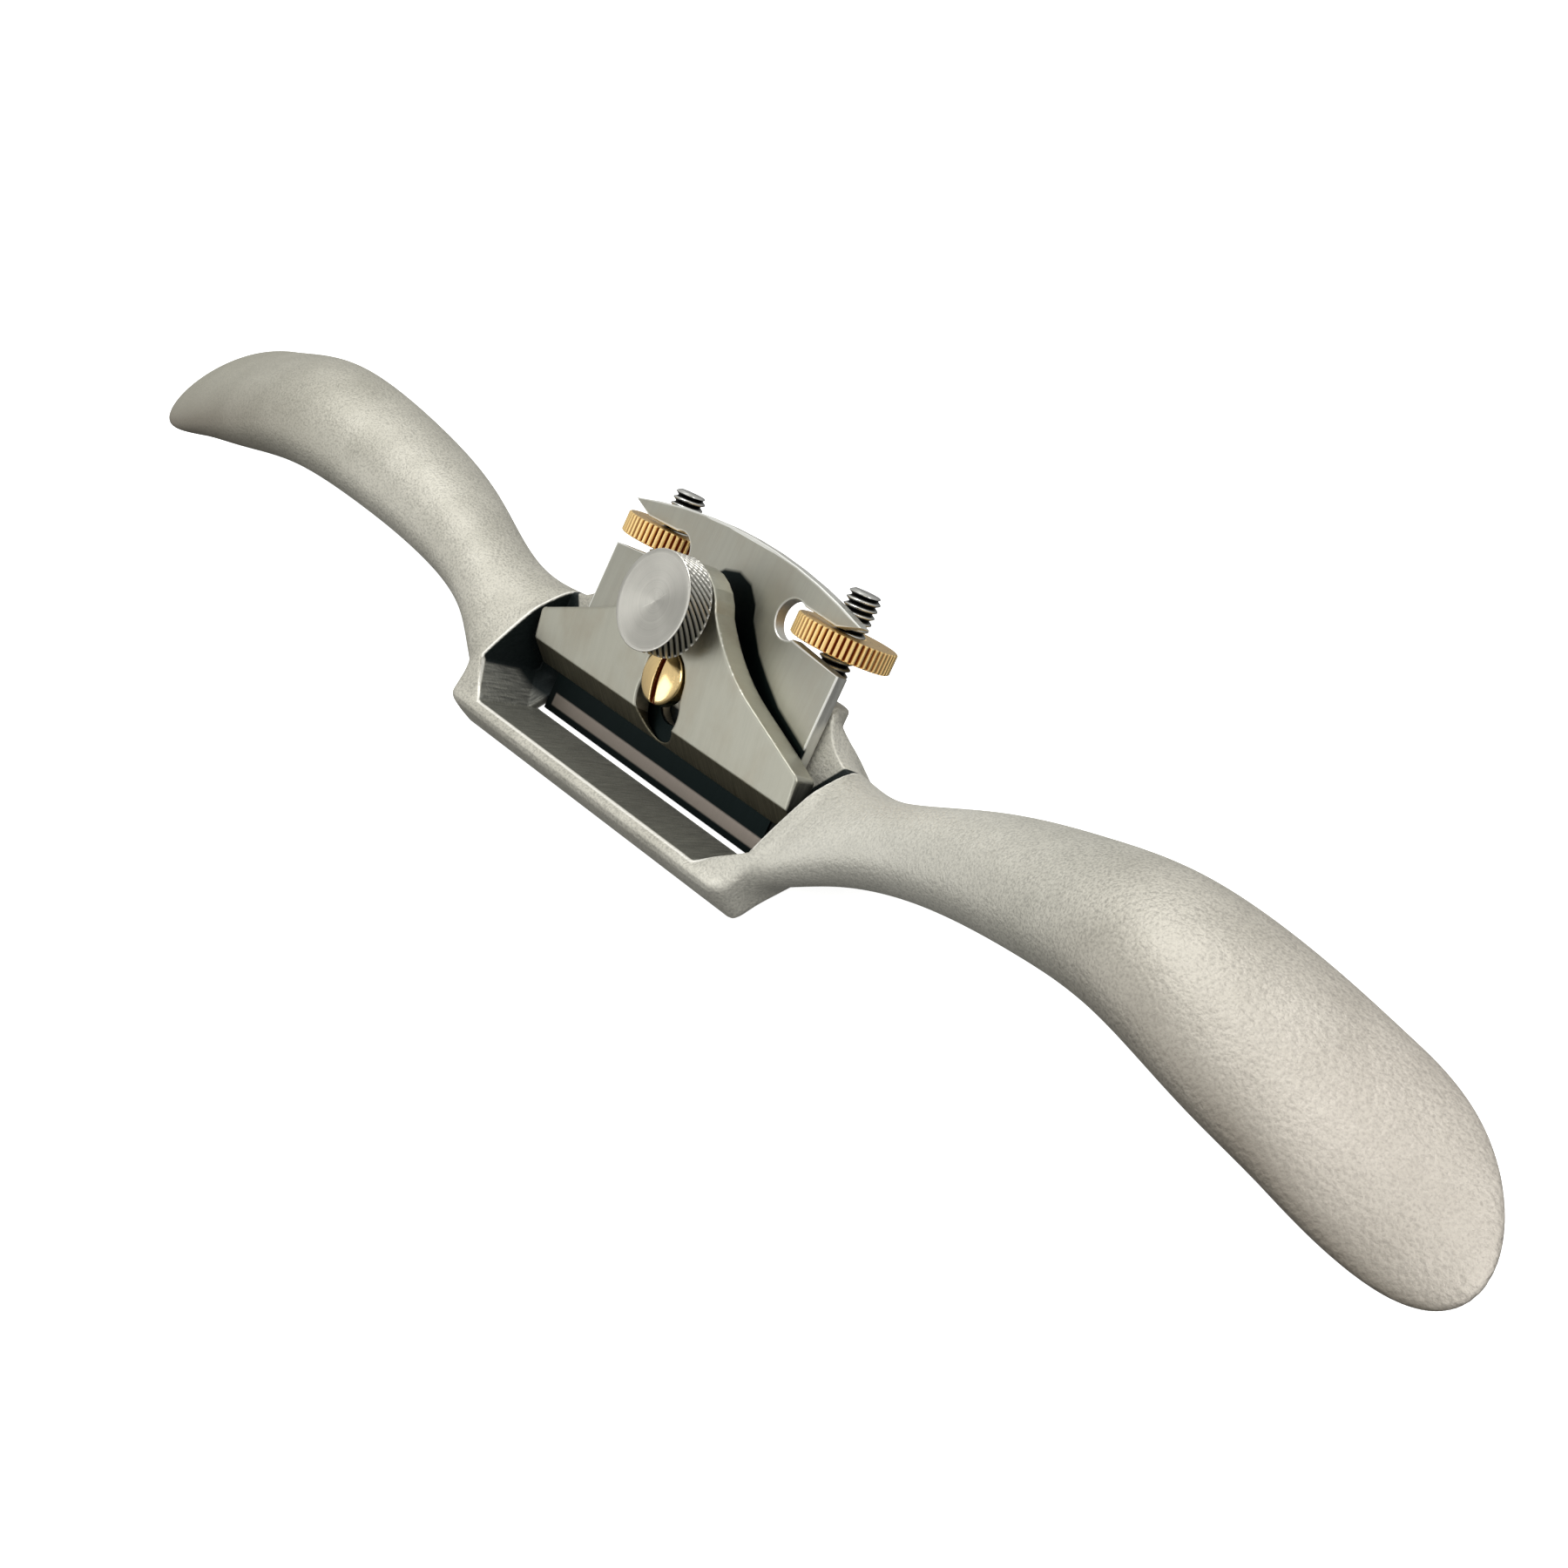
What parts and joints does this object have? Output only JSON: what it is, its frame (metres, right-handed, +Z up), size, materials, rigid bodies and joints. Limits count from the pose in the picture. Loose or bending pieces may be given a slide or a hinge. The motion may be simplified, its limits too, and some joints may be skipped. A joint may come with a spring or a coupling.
{
  "type": "hand plane",
  "caption": "Metal spokeshave: a cast body with gull-wing handles, a slotted iron on a steep bed, a lever cap with thumbscrew, and two knurled depth nuts.",
  "frame": {"origin": "on the sole, on the middle line, directly below the cutting edge at rest", "axes": "+X along the handles towards the user's right as seen from the front lip, +Y from the front lip towards the studs, +Z up from the sole"},
  "size_m": [0.3, 0.0443, 0.0324],
  "materials": {
    "body_metal": "satin",
    "iron_steel": "satin",
    "cap_steel": "satin",
    "turned_steel": "satin",
    "brass": "satin"
  },
  "bodies": {
    "body": {"body_casting": "body_metal", "adjuster_stud_left": "turned_steel", "adjuster_stud_right": "turned_steel"},
    "iron": {"blade": "iron_steel"},
    "nut_left": {"adjuster_nut_left": "brass"},
    "nut_right": {"adjuster_nut_right": "brass"},
    "cap": {"lever_cap": "cap_steel"},
    "thumb": {"thumbscrew": "turned_steel"},
    "cap_screw": {"lever_cap_screw": "brass"}
  },
  "joints": [
    {"name": "iron_slide", "type": "slide", "parent": "body", "child": "iron", "axis": [0, 0.7071, 0.7071], "range_m": [-0.0004, 0.003]},
    {"name": "nut_left_turn", "type": "hinge", "parent": "iron", "child": "nut_left", "pos_m": [-0.0209, 0.02588, 0.01937], "axis": [0, 0.7071, 0.7071], "range_deg": [-145, 1081]},
    {"name": "nut_right_turn", "type": "hinge", "parent": "iron", "child": "nut_right", "pos_m": [0.0209, 0.02588, 0.01937], "axis": [0, 0.7071, 0.7071], "range_deg": [-145, 1081]},
    {"name": "cap_slide", "type": "slide", "parent": "body", "child": "cap", "axis": [0, 0.7071, 0.7071], "range_m": [0, 0.004]},
    {"name": "thumbscrew_turn", "type": "hinge", "parent": "cap", "child": "thumb", "pos_m": [0, 0.01371, 0.02278], "axis": [0, -0.7071, 0.7071], "range_deg": [0, 720]},
    {"name": "cap_screw_turn", "type": "hinge", "parent": "body", "child": "cap_screw", "pos_m": [0, 0.01103, 0.01103], "axis": [0, -0.7071, 0.7071], "range_deg": [0, 720]}
  ],
  "couplings": [
    {"joint": "nut_left_turn", "follows": "iron_slide", "rad_per_m": 6283.2},
    {"joint": "nut_right_turn", "follows": "iron_slide", "rad_per_m": 6283.2}
  ]
}
